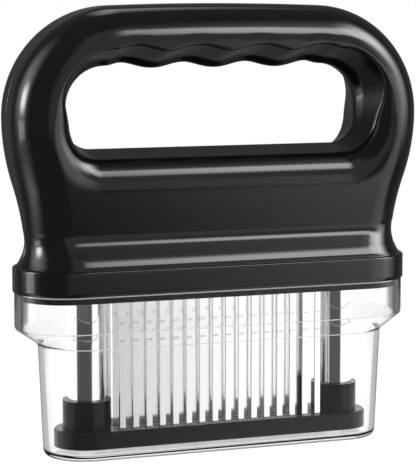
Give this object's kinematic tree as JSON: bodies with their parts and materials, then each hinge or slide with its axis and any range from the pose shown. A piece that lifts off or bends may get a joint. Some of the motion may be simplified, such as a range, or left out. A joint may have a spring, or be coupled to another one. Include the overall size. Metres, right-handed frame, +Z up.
{
  "type": "blade meat tenderizer",
  "caption": "Hand-held blade meat tenderizer: arched black handle, rows of steel blades, a sprung guard plate on two polished tubes, standing in a clear push-on cover.",
  "frame": {"origin": "centre of the cover's underside, on the surface that it stands on", "axes": "+X to the right along the grip, +Y to the back, +Z up the guide tubes"},
  "size_m": [0.1526, 0.039, 0.1597],
  "materials": {
    "shell_black": "high gloss",
    "base_black": "gloss",
    "holder_black": "satin",
    "guard_black": "satin gloss",
    "bush_white": "natural acetal",
    "blade_steel": "bright",
    "tube_steel": "polished",
    "spring_steel": "drawn wire",
    "screw_steel": "plain",
    "clear_cover": "clear moulded plastic"
  },
  "bodies": {
    "cover": {"blade_cover": "clear_cover"},
    "handle": {"front_shell": "shell_black", "rear_shell": "shell_black", "base_plate": "base_black", "base_screws": "screw_steel", "left_guide_bush": "bush_white", "right_guide_bush": "bush_white", "blade_holder": "holder_black", "holder_cap": "holder_black", "holder_screws": "screw_steel", "front_blade_row": "blade_steel", "middle_blade_row": "blade_steel", "rear_blade_row": "blade_steel", "left_spring": "spring_steel", "right_spring": "spring_steel", "left_spring_guide": "bush_white", "right_spring_guide": "bush_white"},
    "guard": {"guard_plate": "guard_black", "left_guide_tube": "tube_steel", "right_guide_tube": "tube_steel", "left_tube_plug": "bush_white", "right_tube_plug": "bush_white", "tube_screws": "screw_steel", "left_stop_ring": "spring_steel", "right_stop_ring": "spring_steel"}
  },
  "joints": [
    {"name": "tool_lift", "type": "slide", "parent": "cover", "child": "handle", "axis": [0, 0, 1], "range_m": [0, 0.07]},
    {"name": "guard_slide", "type": "slide", "parent": "handle", "child": "guard", "axis": [0, 0, 1], "range_m": [0, 0.03], "stiffness_N_per_m": 950, "springref_m": -0.01, "deforming": ["left_spring", "right_spring"]}
  ]
}
